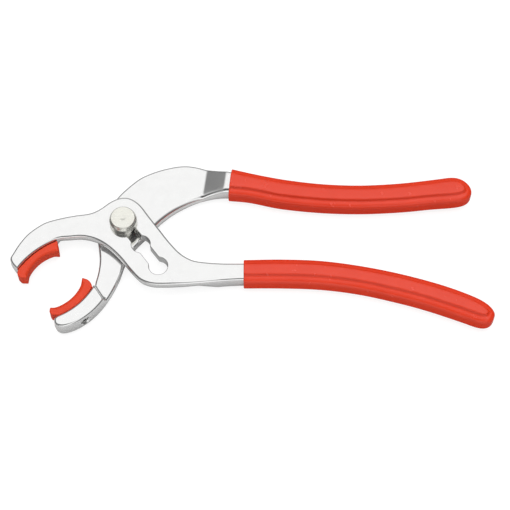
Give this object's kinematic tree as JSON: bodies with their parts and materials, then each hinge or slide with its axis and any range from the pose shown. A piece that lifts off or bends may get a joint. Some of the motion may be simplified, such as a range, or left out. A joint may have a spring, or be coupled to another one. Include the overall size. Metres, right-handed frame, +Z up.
{
  "type": "slip-joint connector pliers",
  "caption": "Slip-joint pliers with wide curved jaws, replaceable plastic jaw inserts, a notched adjusting slot and dipped grips.",
  "frame": {"origin": "centre of the pivot bolt's flat rear end, on the plane the pliers lie on", "axes": "+X from the jaws to the handles, +Z up from the rear face to the bolt's head, +Y towards the handle of the rear half"},
  "size_m": [0.2481, 0.096, 0.0186],
  "materials": {
    "chrome_steel": "polished",
    "nickel_steel": "satin",
    "plain_steel": "satin",
    "red_nylon": "moulded",
    "red_vinyl": "dipped"
  },
  "bodies": {
    "front_body": {"front_half": "chrome_steel", "upper_jaw_insert": "red_nylon", "upper_insert_screw": "plain_steel", "lower_grip": "red_vinyl"},
    "slide_body": {"pivot_washer": "plain_steel"},
    "rear_body": {"rear_half": "chrome_steel", "pivot_bolt": "nickel_steel", "pivot_nut": "plain_steel", "lower_jaw_insert": "red_nylon", "lower_insert_screw": "plain_steel", "upper_grip": "red_vinyl"}
  },
  "joints": [
    {"name": "slot_slide", "type": "slide", "parent": "front_body", "child": "slide_body", "axis": [0.599, -0.8007, 0], "range_m": [0, 0.0312]},
    {"name": "pivot_hinge", "type": "hinge", "parent": "slide_body", "child": "rear_body", "pos_m": [0, 0, 0], "axis": [0, 0, 1], "range_deg": [-4.5, 38]}
  ]
}
